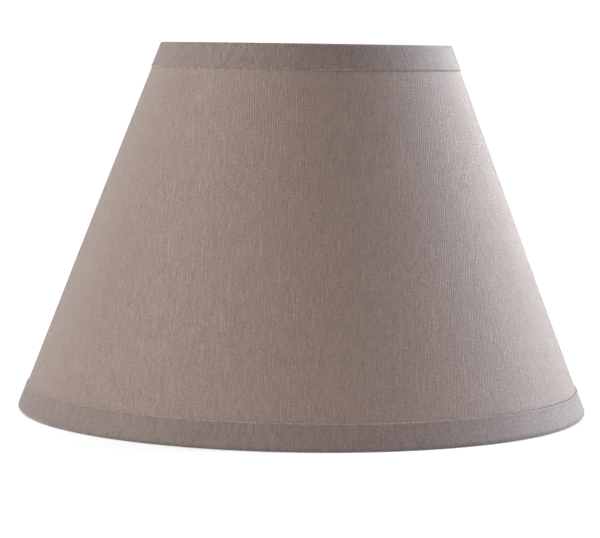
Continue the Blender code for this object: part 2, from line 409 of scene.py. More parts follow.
def skin(name, rows, closed, uv=None):
    """A mesh through rows of closed loops of as many points. Unless closed, its ends are capped."""
    shape = bmesh.new()
    uv_layer = shape.loops.layers.uv.new("UVMap") if uv else None
    rings = [[shape.verts.new(point) for point in row] for row in rows]
    count = len(rings[0])
    for r in range(len(rings) if closed else len(rings) - 1):
        next_ring = rings[(r + 1) % len(rings)]
        for i in range(count):
            j = (i + 1) % count
            face = shape.faces.new((rings[r][i], next_ring[i], next_ring[j], rings[r][j]))
            if uv:
                places = (uv(r, i), uv(r + 1, i), uv(r + 1, i + 1), uv(r, i + 1))
                for corner, place in zip(face.loops, places):
                    corner[uv_layer].uv = place
    if not closed:
        for r, ring in ((0, rings[0][::-1]), (len(rings) - 1, rings[-1])):
            face = shape.faces.new(ring)
            if uv:
                for corner in face.loops:
                    corner[uv_layer].uv = uv(r, ring.index(corner.vert))
        bmesh.ops.triangulate(shape, faces=[f for f in shape.faces if len(f.verts) > 4])
    bmesh.ops.recalc_face_normals(shape, faces=shape.faces)
    mesh = bpy.data.meshes.new(name)
    shape.to_mesh(mesh)
    shape.free()
    mesh.shade_smooth()
    return mesh


def arc_between(before, corner, after, radius, steps):
    """Points of the arc that rounds a corner between two straight runs."""
    run_in, run_out = (corner - before).normalized(), (after - corner).normalized()
    turn = run_in.angle(run_out)
    start = corner - run_in * radius * math.tan(turn / 2)
    side = (run_out - run_in * run_in.dot(run_out)).normalized()
    centre = start + side * radius
    turns = [turn * i / steps for i in range(steps + 1)]
    return [centre + run_in * radius * math.sin(t) - side * radius * math.cos(t) for t in turns]


def mesh_from_tree(name, tree, start_mesh=None, **values):
    """The mesh that a geometry tree makes. An input name's spaces are written as underscores."""
    carrier = bpy.data.objects.new(name, start_mesh or bpy.data.meshes.new(name))
    bpy.context.scene.collection.objects.link(carrier)
    maker = carrier.modifiers.new("Maker", "NODES")
    maker.node_group = tree
    inputs = (item for item in tree.interface.items_tree if item.in_out == "INPUT")
    sockets = {item.name: item.identifier for item in inputs}
    for label, value in values.items():
        maker[sockets[label.replace("_", " ")]] = value
    graph = bpy.context.evaluated_depsgraph_get()
    mesh = bpy.data.meshes.new_from_object(carrier.evaluated_get(graph))
    mesh.name = name
    bpy.data.objects.remove(carrier)
    return mesh


def new_geometry_tree(name, inputs):
    """A geometry tree with named inputs. Returns the tree and its inputs as wires."""
    tree = bpy.data.node_groups.new(name, "GeometryNodeTree")
    for label, kind in inputs.items():
        tree.interface.new_socket(name=label, in_out="INPUT", socket_type=kind)
    tree.interface.new_socket(
        name="Geometry", in_out="OUTPUT", socket_type="NodeSocketGeometry")
    entry = tree.nodes.new("NodeGroupInput")
    return tree, {label: Wire(entry.outputs[label]) for label in inputs}


def end_geometry_tree(tree, geometry, material):
    """Ends a tree in Realize Instances, Set Shade Smooth and Set Material."""
    real = add_node(tree, "GeometryNodeRealizeInstances", None, {"Geometry": geometry})
    rounded = add_node(tree, "GeometryNodeSetShadeSmooth", None, {"Geometry": real})
    sockets = {"Geometry": rounded, "Material": material}
    painted = add_node(tree, "GeometryNodeSetMaterial", None, sockets)
    add_node(tree, "NodeGroupOutput", None, {"Geometry": painted})


# ---- Cloth cover, stiff sheet and seam -------------------

COVER_END_STEP = math.radians(0.07)  # between the close columns at the cloth's lapped end
SHEET_END_STEP = math.radians(0.02)
COVER_OVERHANG = math.radians(0.35)  # how far the cloth laps past the sheet, to be turned down
FRONT_TURN = math.pi + math.radians(90 - SEAM_START)  # from the seam to the middle of the front
WALL_RIPPLE = 0.9 * MM
WALL_COLUMNS, WALL_ROWS = 480, 56
FILM_COLUMNS, FILM_ROWS = 8, 60


def turn_round_cone(given, column):
    """How far round the cone a column of the sheet is.

    Columns are even, but for a few close together at the lapped end, where the edge is turned.
    """
    columns, fine, end_step = given["Columns"], given["Fine columns"], given["End step"]
    main_turn = WHOLE_TURN + given["Lap angle"] - fine * end_step
    main_part = column.math("MINIMUM", columns) * (main_turn / columns)
    return main_part + (column - columns).math("MAXIMUM", 0.0) * end_step


def sheet_depth(given, column, z):
    """A point's depth in the wall. The outer face rolls down at the lapped end, to the cloth below."""
    past_columns = (column - given["Columns"]) / given["Fine columns"]
    at_end = past_columns.math("MAXIMUM", 0.0).math("MINIMUM", 1.0)
    rounding = 1.0 - (1.0 - at_end * at_end).math("MAXIMUM", 0.0).math("SQRT")
    turned = at_end.math("GREATER_THAN", 0.25) * given["Edge turn"]
    outer, inner = given["Outer depth"], given["Inner depth"]
    outer_depth = outer + rounding * 0.55 * (inner + turned - outer)
    inner_depth = inner + turned * (1.0 - rounding * 0.35)
    return inner_depth + z * (outer_depth - inner_depth)


def wall_ripple(tree, given, angle, height, y):
    """Slight waves in the wall, held flat at both rims."""
    place = combine(tree, angle.math("COSINE") * 1.6, angle.math("SINE") * 1.6, height * 2.5)
    ripple = (noise_field(place, 1.0, 1.0) - 0.5) * given["Ripple"]
    return ripple * (y * math.pi).math("SINE")


def flat_cut_place(tree, given, turn, height):
    """Where a point was on the flat cut: distances from the cone's tip stay, and turns shrink."""
    lean = given["Lean"]
    from_tip = (given["Rim radius"] - height * lean.math("TANGENT")) / lean.math("SINE")
    flat_angle = (turn - FRONT_TURN) * lean.math("SINE")
    x = from_tip * flat_angle.math("SINE")
    return combine(tree, x, 0.0 - from_tip * flat_angle.math("COSINE"))


def rolled_sheet_tree():
    """A flat sheet rolled into a cone, whose end lies over its own start.

    The sheet starts as a thin block: X runs round the cone, Y up the wall and Z through it. Its UV
    map is the sheet as it was cut flat, in metres, with the middle of the cut at the front. The map
    is stored first, because the block's own positions are gone once it is rolled.
    """
    labels = (
        "Rim radius", "Lean", "Outer depth", "Inner depth", "Low edge", "High edge", "Start angle",
        "Lap angle", "Ramp angle", "Lap lift", "Ripple", "Edge turn", "End step")
    inputs = {label: "NodeSocketFloat" for label in labels}
    inputs.update({label: "NodeSocketInt" for label in ("Columns", "Fine columns", "Rows")})
    inputs["Material"] = "NodeSocketMaterial"
    tree, given = new_geometry_tree("Rolled sheet", inputs)

    all_columns = given["Columns"] + given["Fine columns"]
    sockets = {"Vertices X": all_columns + 1, "Vertices Y": given["Rows"], "Vertices Z": 2}
    block = add_node(tree, "GeometryNodeMeshCube", None, sockets)
    corner = add_node(tree, "ShaderNodeSeparateXYZ", None, {
        0: add_node(tree, "GeometryNodeInputPosition")})
    x, y, z = corner["X"] + 0.5, corner["Y"] + 0.5, corner["Z"] + 0.5

    column = x * all_columns
    turn = turn_round_cone(given, column)
    angle = given["Start angle"] + turn
    height = given["Low edge"] + y * (given["High edge"] - given["Low edge"])
    lift = given["Lap lift"] * ramp01(turn, WHOLE_TURN - given["Ramp angle"], WHOLE_TURN)
    depth = sheet_depth(given, column, z) - lift + wall_ripple(tree, given, angle, height, y)
    lean = given["Lean"]
    radius = given["Rim radius"] - height * lean.math("TANGENT") - depth / lean.math("COSINE")
    place = combine(tree, radius * angle.math("COSINE"), radius * angle.math("SINE"), height)

    flat = flat_cut_place(tree, given, turn, height)
    marked = add_node(
        tree, "GeometryNodeStoreNamedAttribute", {"data_type": "FLOAT2", "domain": "CORNER"},
        {"Geometry": block, "Name": "UVMap", "Value": flat})
    rolled = add_node(
        tree, "GeometryNodeSetPosition", None, {"Geometry": marked, "Position": place})
    end_geometry_tree(tree, rolled, given["Material"])
    return tree


def flat_cut_size():
    """The width and height of the rectangle round the wall laid flat, and the wall's area."""
    low = RIM_RADIUS - EDGE_SETBACK * math.tan(LEAN)
    high = RIM_RADIUS - (HEIGHT - EDGE_SETBACK) * math.tan(LEAN)
    outer, inner = low / math.sin(LEAN), high / math.sin(LEAN)
    flat_turn = math.radians(360 + LAP_ANGLE) * math.sin(LEAN)
    width = 2 * outer * (1.0 if flat_turn > math.pi else math.sin(flat_turn / 2))
    height = outer - inner * math.cos(flat_turn / 2)
    return width, height, flat_turn / 2 * (outer ** 2 - inner ** 2)


def rolled_sheets(cloth, sheet):
    """The cloth cover and the stiff sheet behind it."""
    tree = rolled_sheet_tree()
    shared = {
        "Rim_radius": RIM_RADIUS,
        "Lean": LEAN,
        "Low_edge": EDGE_SETBACK,
        "High_edge": HEIGHT - EDGE_SETBACK,
        "Start_angle": math.radians(SEAM_START),
        "Ramp_angle": math.radians(RAMP_ANGLE),
        "Lap_lift": LAP_LIFT,
        "Ripple": WALL_RIPPLE,
        "Columns": WALL_COLUMNS,
        "Rows": WALL_ROWS,
    }
    lap_angle = math.radians(LAP_ANGLE)
    cover_mesh = mesh_from_tree(
        "cloth_cover", tree, **shared, Outer_depth=COVER_DEPTH, Inner_depth=PANEL_DEPTH,
        Lap_angle=lap_angle + COVER_OVERHANG, Edge_turn=PANEL_BACK - PANEL_DEPTH,
        Fine_columns=8, End_step=COVER_END_STEP, Material=cloth)
    panel_mesh = mesh_from_tree(
        "stiff_lining", tree, **shared, Outer_depth=PANEL_DEPTH, Inner_depth=PANEL_BACK,
        Lap_angle=lap_angle, Edge_turn=0.0, Fine_columns=4, End_step=SHEET_END_STEP,
        Material=sheet)
    cover = add_piece("cloth_cover", cover_mesh, cloth, "shade", "cover_cloth", "fabric_cover")
    add_piece("stiff_lining", panel_mesh, sheet, "shade", "stiff_sheet", "backing_panel")
    width, height, area = flat_cut_size()


def seam_film(film):
    """The double-sided tape in the lap, between the cloth's start and the sheet's end."""
    first, last = SEAM_START + 0.5, SEAM_START + LAP_ANGLE - 0.5
    low, high = EDGE_SETBACK + 1 * MM, HEIGHT - EDGE_SETBACK - 1 * MM
    outer_depth = COVER_DEPTH - FILM_THICKNESS * 0.95
    inner_depth = COVER_DEPTH - FILM_THICKNESS * 0.05
    rows = []
    for step in range(FILM_ROWS + 1):
        height = low + (high - low) * step / FILM_ROWS
        wander = 0.12 * noise.noise(Vector((0, 0, height * 90)))
        turns = [
            first + wander + (last - first) * i / FILM_COLUMNS for i in range(FILM_COLUMNS + 1)]
        outer = [polar(wall_radius(outer_depth, height), t, height) for t in turns]
        inner = [polar(wall_radius(inner_depth, height), t, height) for t in turns]
        rows.append(outer + inner[::-1])
    mesh = skin("seam_film", rows, False)
    add_piece("seam_film", mesh, film, "shade", "adhesive_tape", "seam_tape")


# ---- Tapes -----------------------------------------------

TAPE_WIDTH = 13.6 * MM
TAPE_INNER_WIDTH = 12.5 * MM
TAPE_RIM = 0.3 * MM  # how far the tape's fold stands inside the CAD rim, to leave room for its lap
TAPE_BODY = COVER_DEPTH  # thickness outside, where it reaches the cloth
TAPE_FOLD = 0.55 * MM  # thickness round the rim and inside
TAPE_CORNER = 1.1 * MM
TAPE_LAP_START = 97.0  # degrees
TAPE_LAP = 5.0
TAPE_TURN = 360.0 + TAPE_LAP
TAPE_LAP_LIFT = 0.45 * MM
TAPE_RIDGE = 0.06 * MM  # how much thicker the tape is just inside its folded edge
TAPE_PUCKER = 0.20 * MM
RIM_FOLD = (TAPE_WIDTH + 0.1 * MM, TAPE_WIDTH + 1.6 * MM)  # the part of V that goes round the rim
INNER_BEND_RISE = 7.5 * MM  # how far from the rim the tape meets the sheet again, inside
LOWER_TAPE_COLUMNS, UPPER_TAPE_COLUMNS = 640, 420

# Where a tape's section has its points: round its corner, inside, and as shares of its outer run
CORNER_STEPS = 9
INNER_STEPS = 20
OUTER_SHARES = (0, 0.012, 0.03, 0.055, 0.09, 0.14, 0.22, 0.34, 0.46, 0.58, 0.70, 0.80)

FOLD_YARN_THICKNESS = 0.56 * MM
FOLD_YARN_LENGTH = 0.90 * MM

# An arm's slit in the upper tape, as half widths
SLIT_TIP = 0.35 * MM  # above the arm
SLIT_SHOULDER = 1.0 * MM
SLIT_OPEN = 1.6 * MM
SLIT_THROAT = 1.75 * MM  # where the arm comes through


class TapeLine:
    """A tape's middle line as (radius, rise from the rim).

    It goes along the wall, round the rim and the wire, and back along the wall inside.
    """

    def __init__(self, ring_radius, rim_height, upwards, width, inner_width):
        def on_wall(depth, rise):
            return Vector((wall_radius(depth, rim_height + upwards * rise), rise))

        edge = on_wall(TAPE_BODY / 2, width * math.cos(LEAN))
        corner = on_wall(TAPE_BODY / 2, TAPE_RIM + TAPE_FOLD / 2)
        wire = Vector((ring_radius, RING_RISE))
        under = Vector((ring_radius, TAPE_RIM + TAPE_FOLD / 2))
        inner_depth = PANEL_BACK + TAPE_FOLD / 2
        inner_start = on_wall(inner_depth, INNER_BEND_RISE)
        inner_edge = on_wall(inner_depth, inner_width * math.cos(LEAN))

        turn = arc_between(edge, corner, under, TAPE_CORNER, 6)
        wrap_radius = RING_RISE - TAPE_RIM - TAPE_FOLD / 2
        reach = inner_start - wire
        leaves = math.atan2(reach.y, reach.x) + math.acos(wrap_radius / reach.length) - WHOLE_TURN
        turns = [-math.pi / 2 + (leaves + math.pi / 2) * i / 12 for i in range(13)]
        wrap = [wire + wrap_radius * Vector((math.cos(t), math.sin(t))) for t in turns]
        inner_bend = arc_between(wrap[-1], inner_start, inner_edge, 2.5 * MM, 4)
        self.points = [edge] + turn + wrap + inner_bend + [inner_edge]
        self.reached = [0.0]
        for one, other in zip(self.points, self.points[1:]):
            self.reached.append(self.reached[-1] + (other - one).length)
        self.rim = self.reached[len(turn)]  # where the outer run and its corner end
        self.wrap = self.reached[1 + len(turn)]  # where the turn round the wire starts
        self.inside = self.reached[len(turn) + len(wrap)]  # where it leaves the wire
        self.end = self.reached[-1]

    def at(self, reach):
        """The point and the direction of travel at a distance along the line."""
        i = 0
        while i < len(self.reached) - 2 and reach > self.reached[i + 1]:
            i += 1
        run = self.points[i + 1] - self.points[i]
        share = (reach - self.reached[i]) / max(1e-9, self.reached[i + 1] - self.reached[i])
        return self.points[i] + run * min(1.0, share), run.normalized()


def over_seam(degrees):
    """How far the wall stands on the cloth's lap there, from 0 to 1."""
    seam = (degrees - SEAM_START) % 360
    if seam > 180:
        return smooth((seam - 360 + RAMP_ANGLE) / RAMP_ANGLE)
    return 1.0 if seam <= LAP_ANGLE else 1.0 - smooth((seam - LAP_ANGLE - 0.3) / 1.2)


def tape_stations(columns, arm_slits):
    """Degrees along a tape, closer at its ends, at the cloth's lap and at each arm's slit."""
    stations = {TAPE_TURN * i / columns for i in range(columns + 1)}
    stations |= {TAPE_TURN - 0.05 * i for i in range(12)}
    stations |= {358.5 + 0.15 * i for i in range(14)}
    for edge in (-RAMP_ANGLE, 0.0, LAP_ANGLE):
        seam = SEAM_START + 360 - TAPE_LAP_START + edge
        stations |= {seam + 0.2 * i for i in range(-4, 12)}
    if arm_slits:
        for arm in ARM_ANGLES:
            slit = (arm - TAPE_LAP_START) % 360
            stations |= {slit + 0.18 * i for i in range(-16, 17)}
    ordered = sorted(stations)
    kept = [ordered[0]]
    for station in ordered[1:]:
        if station - kept[-1] > 0.02:
            kept.append(station)
    return kept


def slit_end(line, aside):
    """How far along its line the tape goes, at a distance aside of an arm.

    The slit is a notch from the tape's inner edge up to the top of the wire.
    """
    throat = 1 - smooth((aside - SLIT_THROAT) / (0.5 * MM))
    slit = 1 - smooth((aside - SLIT_TIP) / SLIT_TIP)
    under_arm = line.wrap + (line.inside - line.wrap) * 0.80
    above_arm = line.wrap + 0.6 * MM
    whole = line.end + (above_arm - line.end) * slit
    whole = min(whole, line.end + (under_arm - line.end) * throat)
    shoulder = (under_arm - above_arm) * smooth((aside - SLIT_SHOULDER) / (1.1 * MM))
    opening = (line.end - under_arm) * smooth((aside - SLIT_OPEN) / (1.0 * MM))
    return min(whole, above_arm + shoulder + opening)


def rounded_end(first, last, away):
    """Three points that round a cut or folded end of the tape."""
    middle = (first + last) / 2
    size = (last - first).length / 2
    pinch = (middle - first) * 0.12
    near_last = last + away * size * 0.55 + (middle - last) * 0.12
    return [first + away * size * 0.55 + pinch, middle + away * size * 0.95, near_last]


class Tape:
    """A binding tape: a strip of doubled cloth folded over a rim, its end lapped over its start."""

    def __init__(self, ring_node, rim_height, upwards, seed):
        self.ring_radius = RING_RADII[ring_node]
        self.arm_slits = ring_node == "top_ring"
        self.rim_height = rim_height
        self.upwards = upwards
        self.seed = seed
        self.out = Vector((math.cos(LEAN), math.sin(LEAN) * upwards))

    def line(self, width, inner_width):
        """The tape's middle line for a width outside and one inside."""
        return TapeLine(self.ring_radius, self.rim_height, self.upwards, width, inner_width)

    def uneven_line(self, facing):
        """The middle line on one side of the shade, where the tape is a little wide or narrow."""
        seed = self.seed
        wander = noise.noise(facing * 3.1 + Vector((seed, 0, 0)))
        wander += 0.45 * noise.noise(facing * 17 + Vector((0, seed, 0)))
        shiver = noise.noise(facing * 90 + Vector((0, 0, seed)))
        inner_wander = noise.noise(facing * 8 + Vector((seed, seed, 0)))
        width = TAPE_WIDTH + 0.28 * MM * wander + 0.06 * MM * shiver
        return self.line(width, TAPE_INNER_WIDTH + 0.55 * MM * inner_wander)

    def half_thickness(self, line, reach, ridge):
        """The tape is pressed flat on the cloth, and fuller round the rim and inside."""
        half = TAPE_FOLD / 2
        if reach < line.rim:
            half += (TAPE_BODY - TAPE_FOLD) / 2 * smooth((line.rim - reach) / (2.5 * MM))
        return half + ridge * TAPE_RIDGE

    def shift(self, line, reach, end, degrees, lapped, pucker):
        """How far the tape is moved off its line by the cloth's lap, its own lap and puckers."""
        to_rim = smooth((line.rim - reach) / (2.2 * MM))
        to_inside = smooth((reach - line.wrap) / (4.0 * MM))
        shift = self.out * (over_seam(degrees) * LAP_LIFT + lapped * TAPE_LAP_LIFT) * to_rim
        shift += Vector((0, -TAPE_RIM * 0.9 * lapped * (1 - to_rim) * (1 - to_inside)))
        shift -= self.out * lapped * TAPE_LAP_LIFT * 0.8 * to_inside
        held_edge = 0.7 * smooth((reach - end + 1.5 * MM) / (1.5 * MM))
        loose = smooth((reach - line.inside) / (2.0 * MM)) * (1 - held_edge)
        return shift - self.out * TAPE_PUCKER * pucker * loose

    def section(self, along):
        """The loop round the tape's thickness there, its outer edge's tip, and V for each point."""
        degrees = TAPE_LAP_START + along
        facing = polar(1.0, degrees, 0.0)
        pucker = noise.noise(facing * 24 + Vector((self.seed * 2.0, 0, 0))) + 0.35
        line = self.uneven_line(facing)
        end = line.end
        if self.arm_slits:
            end = slit_end(line, math.radians(degrees_to_arm(degrees)) * self.ring_radius)
        lapped = smooth((along - 360 + 0.3) / 1.2)
        tapering = 1 - 0.6 * smooth((along - TAPE_TURN + 0.35) / 0.35) ** 2

        corner_start = line.rim * OUTER_SHARES[-1]
        reaches = [line.rim * share for share in OUTER_SHARES]
        corner_run, inner_run = line.wrap - corner_start, end - line.wrap
        reaches += [corner_start + corner_run * i / CORNER_STEPS for i in range(1, CORNER_STEPS + 1)]
        reaches += [line.wrap + inner_run * i / INNER_STEPS for i in range(1, INNER_STEPS + 1)]
        hidden, seen = [], []
        for reach in reaches:
            point, run = line.at(reach)
            ridge = math.exp(-((reach - 0.7 * MM) / (0.5 * MM)) ** 2)
            side = Vector((-run.y, run.x)) * self.half_thickness(line, reach, ridge) * tapering
            point += self.out * TAPE_RIDGE * ridge
            point += self.shift(line, reach, end, degrees, lapped, pucker)
            hidden.append(point - side)
            seen.append(point + side)
        inner_tip = rounded_end(hidden[-1], seen[-1], line.at(end)[1])
        outer_tip = rounded_end(seen[0], hidden[0], -line.at(0.0)[1])
        loop = hidden + inner_tip + seen[::-1] + outer_tip
        v_values = reaches + [line.end + TAPE_BODY] * 3 + reaches[::-1] + [-TAPE_BODY] * 3 + [0.0]
        return [self.place(p, degrees) for p in loop], self.place(outer_tip[1], degrees), v_values

    def place(self, point, degrees):
        """Where a (radius, rise) point of a section is on the shade."""
        return polar(point.x, degrees, self.rim_height + self.upwards * point.y)


def folded_tape(name, node, tape, columns, cloth):
    """One binding tape as a piece. Returns the line of its outer folded edge."""
    stations = tape_stations(columns, tape.arm_slits)
    mean_radius = wall_radius(0.0, tape.rim_height)
    loops, tips, v_rows = zip(*(tape.section(along) for along in stations))
    v_values = v_rows[len(v_rows) // 2]

    def flat_place(r, i):
        return math.radians(stations[r]) * mean_radius, v_values[i]

    mesh = skin(name, loops, False, flat_place)
    piece = add_piece(name, mesh, cloth, "shade", "tape_cloth", node)
    flat_length = math.radians(TAPE_TURN) * mean_radius
    flat_width = tape.line(TAPE_WIDTH, TAPE_INNER_WIDTH).end
    return tips


def random_number(tree, low, high, seed):
    sockets = {"Min": low, "Max": high, "Seed": seed}
    chosen = add_node(tree, "FunctionNodeRandomValue", {"data_type": "FLOAT"}, sockets)
    return Wire(chosen.socket.node.outputs[1])


def fold_yarn_tree():
    """Small yarn turns along a line: one at each step, longer up the wall, of uneven size."""
    inputs = {label: "NodeSocketFloat" for label in ("Pitch", "Thickness", "Length", "Lean")}
    inputs = {"Line": "NodeSocketGeometry", **inputs, "Material": "NodeSocketMaterial"}
    tree, given = new_geometry_tree("Fold yarns", inputs)
    curve = add_node(tree, "GeometryNodeMeshToCurve", None, {0: given["Line"]})
    even = add_node(
        tree, "GeometryNodeResampleCurve", {"mode": "LENGTH"},
        {"Curve": curve, "Length": given["Pitch"]})
    bead = {"Segments": 6, "Rings": 4, "Radius": 0.5}
    yarn = add_node(tree, "GeometryNodeMeshUVSphere", None, bead)
    place = add_node(tree, "ShaderNodeSeparateXYZ", None, {
        0: add_node(tree, "GeometryNodeInputPosition")})
    facing = place["Y"].math("ARCTAN2", place["X"])
    turn = combine(tree, random_number(tree, -0.5, 0.5, 3), 0.0 - given["Lean"], facing)
    size = random_number(tree, 0.55, 1.25, 8)
    thickness, length = given["Thickness"] * size, given["Length"] * size
    scale = combine(tree, thickness, given["Pitch"] * 0.62 * size, length)
    turns = add_node(tree, "GeometryNodeInstanceOnPoints", None, {
        "Points": even, "Instance": yarn, "Rotation": turn, "Scale": scale})
    end_geometry_tree(tree, turns, given["Material"])
    return tree


def fold_yarns(name, edge_line, tree, yarn):
    """The yarn turns that show along a tape's outer folded edge."""
    line = bpy.data.meshes.new(name)
    line.from_pydata(edge_line, [(i, i + 1) for i in range(len(edge_line) - 1)], [])
    yarns = mesh_from_tree(
        name, tree, line, Pitch=YARN_PITCH, Thickness=FOLD_YARN_THICKNESS,
        Length=FOLD_YARN_LENGTH, Lean=LEAN, Material=yarn)
    add_piece(name, yarns, yarn, "shade", "tape_cloth")


# ---- Wires and fitter ------------------------------------

WIRE_SIDES = 16
RING_ROWS = 180
ARM_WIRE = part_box("fitter_arm_3")[1][0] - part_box("fitter_arm_3")[0][0]
ARM_BEND = 6 * MM
ARM_LEVEL_OUTER = 9 * MM  # the level run at the upper ring, as far as the bend's corner
ARM_LEVEL_INNER = 11 * MM  # the level run under the fitter
RING_WELD = (1.5 * MM, 2.3 * MM, 1.75 * MM)
FOOT_WELD = (1.5 * MM, 0.9 * MM, 0.62 * MM)

FITTER_STEP = 0.8 * MM
FITTER_SHEET = 1.2 * MM
FITTER_HOLE = 21.0 * MM  # radius
FITTER_SEAT = 5.0 * MM
WELD_DENT = 0.28 * MM
FITTER_ROWS = 192

REDUCER_RIDGE_HEIGHT = 2.4 * MM
REDUCER_RIDGE_OUTER = 20.6 * MM
REDUCER_RIDGE_INNER = 19.2 * MM
REDUCER_HOLE = 14.3 * MM  # radius
REDUCER_RIBS = 24
REDUCER_RIB_RELIEF = 0.18 * MM
REDUCER_ROWS = 288


def wire_ring(name, node, coat):
    low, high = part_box(node)
    radius, height, half = RING_RADII[node], (low[2] + high[2]) / 2, RING_WIRE / 2
    turns = [WHOLE_TURN * i / WIRE_SIDES for i in range(WIRE_SIDES)]
    section = [(radius + half * math.cos(t), height + half * math.sin(t)) for t in turns]
    rows = [[polar(r, 360 / RING_ROWS * i, z) for r, z in section] for i in range(RING_ROWS)]
    add_piece(name, skin(name, rows, True), coat, "shade", "coated_wire", node)


def weld_bead(shape, centre, size, seed):
    """A small uneven blob of coated weld metal, added to a mesh under construction."""
    made = bmesh.ops.create_icosphere(shape, subdivisions=3, radius=1.0)
    for vert in made["verts"]:
        swell = 1 + 0.16 * noise.noise(vert.co * 1.7 + Vector((seed, seed * 2, 0)))
        vert.co = centre + Vector([c * s for c, s in zip(vert.co, size)]) * swell


def arm_rows(route):
    """Loops round an arm's wire along its route. The last one is nipped in."""
    rows = []
    nip = route[-1] - Vector((0.25 * MM, 0))
    points = route + [nip]
    for i, point in enumerate(points):
        before, after = route[max(0, i - 1)], points[min(i + 1, len(route))]
        run = (after - before).normalized()
        half = ARM_WIRE / 2 * (0.82 if i == len(route) else 1.0)
        loop = []
        for k in range(WIRE_SIDES):
            turn = WHOLE_TURN * k / WIRE_SIDES
            across = Vector((-run.y, run.x)) * math.cos(turn) * half
            loop.append(Vector((point.x + across.x, math.sin(turn) * half, point.y + across.y)))
        rows.append(loop)
    return rows


def spider_arm(name, node, degrees, coat):
    """One arm: out of its weld on the upper ring, down, and in under the fitter, to its welds."""
    low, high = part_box("fitter_arm_3")
    inner_end, outer_end = -high[1], -low[1]
    ring_height = high[2] - ARM_WIRE / 2
    foot_height = FITTER_UNDERSIDE + FITTER_STEP - ARM_WIRE / 2
    start = Vector((outer_end + 0.8 * MM, ring_height))
    shoulder = Vector((outer_end - ARM_LEVEL_OUTER, ring_height))
    foot = Vector((inner_end + ARM_LEVEL_INNER, foot_height))
    end = Vector((inner_end, foot_height))
    route = [start] + arc_between(start, shoulder, foot, ARM_BEND, 14)
    route += arc_between(shoulder, foot, end, ARM_BEND, 14) + [end]
    mesh = skin(name, arm_rows(route), False)

    shape = bmesh.new()
    shape.from_mesh(mesh)
    seed = degrees / 17.0
    ring_weld = Vector((outer_end + 0.1 * MM, 0, ring_height - 0.1 * MM))
    weld_bead(shape, ring_weld, RING_WELD, seed)
    for side in (-1, 1):
        foot_weld = (inner_end + 1.7 * MM, side * 1.15 * MM, foot_height + ARM_WIRE * 0.36)
        weld_bead(shape, Vector(foot_weld), FOOT_WELD, seed + side)
    shape.transform(Matrix.Rotation(math.radians(degrees), 4, "Z"))
    shape.to_mesh(mesh)
    shape.free()
    mesh.shade_smooth()
    add_piece(name, mesh, coat, "shade", "coated_wire", node)


def rounded_outline(corners):
    """A closed outline of (radius, height, rounding) corners, each rounded by an arc."""
    points = []
    places = [Vector(corner[:2]) for corner in corners]
    for i, corner in enumerate(corners):
        after = places[(i + 1) % len(places)]
        points += arc_between(places[i - 1], places[i], after, corner[2], 4)
    return points


def pressed_fitter(coat):
    """The fitter, pressed from sheet, with a seat round its hole and a raised outer zone."""
    base, step, sheet = FITTER_UNDERSIDE, FITTER_STEP, FITTER_SHEET
    inner, seat, outer = FITTER_HOLE, FITTER_HOLE + FITTER_SEAT, FITTER_RADIUS
    bend = 0.9 * MM
    outline = rounded_outline([
        (outer, base + step + sheet, 0.5 * MM),
        (outer, base + step, 0.25 * MM),
        (seat + step, base + step, bend),
        (seat, base, bend),
        (inner, base, 0.18 * MM),
        (inner, base + sheet, 0.35 * MM),
        (seat, base + sheet, bend),
        (seat + step, base + step + sheet, bend),
    ])

    def dent(point, degrees):
        """Each weld leaves a shallow round dent in the upper face."""
        if point.y <= base + sheet * 0.6:
            return 0.0
        across = math.radians(degrees_to_arm(degrees)) * point.x
        aside = math.hypot(across, point.x - (seat + 2.2 * MM))
        return WELD_DENT * (1 - smooth(aside / (1.9 * MM)))

    turns = [360 * i / FITTER_ROWS for i in range(FITTER_ROWS)]
    rows = [[polar(p.x, t, p.y - dent(p, t)) for p in outline] for t in turns]
    mesh = skin("pressed_fitter", rows, True)
    add_piece("pressed_fitter", mesh, coat, "shade", "coated_wire", "fitter_ring")


def moulded_reducer(plastic):
    """The reducer: a washer with a ridge below that drops into the fitter's hole, ribbed outside."""
    base, top = REDUCER_UNDERSIDE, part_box("reducer_ring")[1][2]
    seat = base + REDUCER_RIDGE_HEIGHT
    outer, inner = REDUCER_RIDGE_OUTER, REDUCER_RIDGE_INNER
    soft = 0.3 * MM
    outline = rounded_outline([
        (REDUCER_RADIUS, top, soft),
        (REDUCER_RADIUS, seat, 0.2 * MM),
        (outer, seat, 0.2 * MM),
        (outer - 0.15 * MM, base, soft),
        (inner, base, soft),
        (inner, seat, 0.3 * MM),
        (REDUCER_HOLE, seat, 0.2 * MM),
        (REDUCER_HOLE, top, soft),
    ])

    def rib(point, degrees):
        """The ridge's outer face has small upright ribs, which grip the fitter."""
        if point.y >= seat - 0.3 * MM or point.x <= inner + 0.5 * MM:
            return 0.0
        phase = abs((degrees * REDUCER_RIBS / 360 + 0.5) % 1 - 0.5) * 360 / REDUCER_RIBS
        aside = math.radians(phase) * outer
        return REDUCER_RIB_RELIEF * (1 - smooth((aside - 0.35 * MM) / (0.35 * MM)))

    turns = [360 * i / REDUCER_ROWS for i in range(REDUCER_ROWS)]
    rows = [[polar(p.x + rib(p, t), t, p.y) for p in outline] for t in turns]
    mesh = skin("moulded_reducer", rows, True)
    add_piece("moulded_reducer", mesh, plastic, "reducer", "white_plastic", "reducer_ring")


# ---- Stage -----------------------------------------------

CAMERA_DISTANCE = 1.269  # from the shade's axis
CAMERA_HEIGHT = 0.1863
CAMERA_LENS = 144.72  # millimetres, on a 36 mm sensor
CAMERA_PITCH = 5.088  # degrees down
CAMERA_ROLL = 0.80
CAMERA_TURN = 0.078  # degrees to the left
FLOOR_RADIUS = 1.4
FLOOR_GLOW = 0.1
ROOM_LIGHT = 0.25
BACKGROUND_LIGHT = 1.05
LAMP_WIDTH, LAMP_HEIGHT = 1.0, 1.4
WHITE = (1.0, 1.0, 1.0, 1.0)


